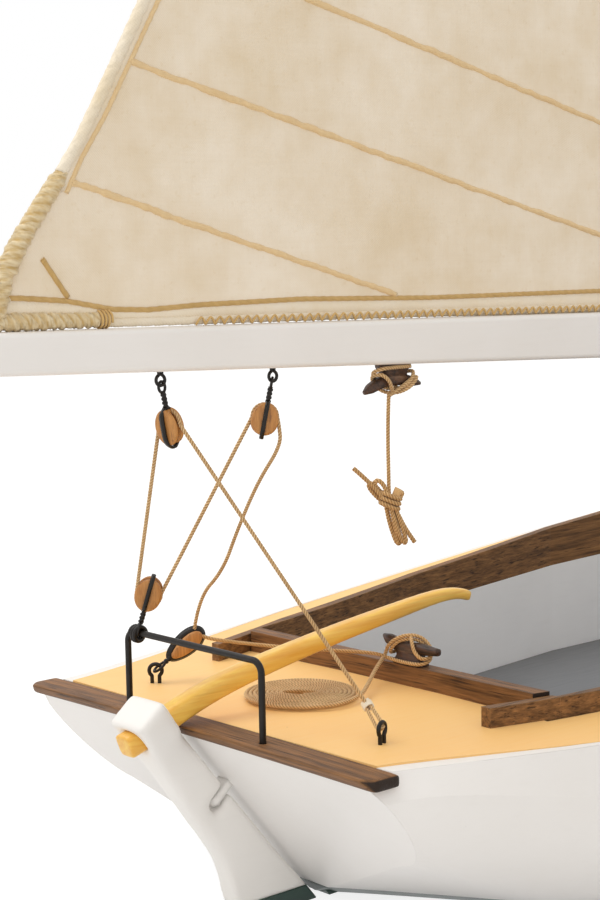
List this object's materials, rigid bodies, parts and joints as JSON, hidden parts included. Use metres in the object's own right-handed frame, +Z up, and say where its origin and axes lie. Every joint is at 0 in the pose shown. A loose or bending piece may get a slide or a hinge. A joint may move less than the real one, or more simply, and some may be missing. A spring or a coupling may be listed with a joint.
{
  "type": "model daysailer",
  "caption": "Wooden display model of a small keel sloop: decked hull with open cockpit, outboard rudder and tiller, wire horse, mast, boom and two sails.",
  "frame": {"origin": "on the design waterline at the centreline, near amidships", "axes": "+X towards the bow, +Y to port, +Z up"},
  "size_m": [0.478, 0.1664, 0.7271],
  "materials": {
    "white_paint": "satin white paint over wood",
    "bottom_green": "dark green bottom paint over wood",
    "deck_buff": "warm buff deck paint",
    "walnut": "oiled walnut",
    "well_grey": "light grey paint",
    "sole_grey": "darker grey paint",
    "varnished_wood": "varnished light wood",
    "block_wood": "oiled light brown wood",
    "black_metal": "blackened wire",
    "brass_fitting": "dull brass",
    "stay_wire": "twisted wire",
    "sail_canvas": "cream cotton sailcloth",
    "rope": "laid tan cord"
  },
  "bodies": {
    "hull": {"hull_topsides": "white_paint", "stem": "white_paint", "mast": "white_paint", "hull_bottom": "bottom_green", "keel": "bottom_green", "deck": "deck_buff", "transom_cap": "walnut", "coaming_port": "walnut", "coaming_starboard": "walnut", "coaming_aft": "walnut", "coaming_forward": "walnut", "sheet_cleat": "walnut", "mast_collar": "walnut", "cockpit_side_port": "well_grey", "cockpit_side_starboard": "well_grey", "cockpit_bulkhead_aft": "well_grey", "cockpit_bulkhead_forward": "well_grey", "cockpit_sole": "sole_grey", "horse_block": "block_wood", "deck_block": "block_wood", "traveller_horse": "black_metal", "deck_eye_port": "black_metal", "deck_eye_starboard": "black_metal", "gudgeons": "brass_fitting", "gooseneck_band": "brass_fitting", "hounds_band": "brass_fitting", "chainplate_port": "brass_fitting", "chainplate_starboard": "brass_fitting", "stem_fitting": "brass_fitting", "forestay": "stay_wire", "shroud_port": "stay_wire", "shroud_starboard": "stay_wire", "jib": "sail_canvas", "sheet_tail": "rope", "sheet_coil": "rope"},
    "rudder": {"rudder_head": "white_paint", "rudder_blade": "bottom_green", "tiller": "varnished_wood", "pintles": "brass_fitting"},
    "boom": {"boom": "white_paint", "mainsail": "sail_canvas", "gooseneck_tang": "brass_fitting", "boom_eye_aft": "black_metal", "boom_eye_forward": "black_metal", "boom_block_aft": "block_wood", "boom_block_forward": "block_wood", "boom_cleat": "walnut", "hanging_line": "rope", "line_hank": "rope"}
  },
  "joints": [
    {"name": "rudder_hinge", "type": "hinge", "parent": "hull", "child": "rudder", "pos_m": [-0.20825, 0, 0.03474], "axis": [-0.6334, 0, 0.7738], "range_deg": [-35, 35]},
    {"name": "boom_hinge", "type": "hinge", "parent": "hull", "child": "boom", "pos_m": [0.072, 0, 0.1003], "axis": [0, 0, 1], "range_deg": [-35, 35]}
  ]
}
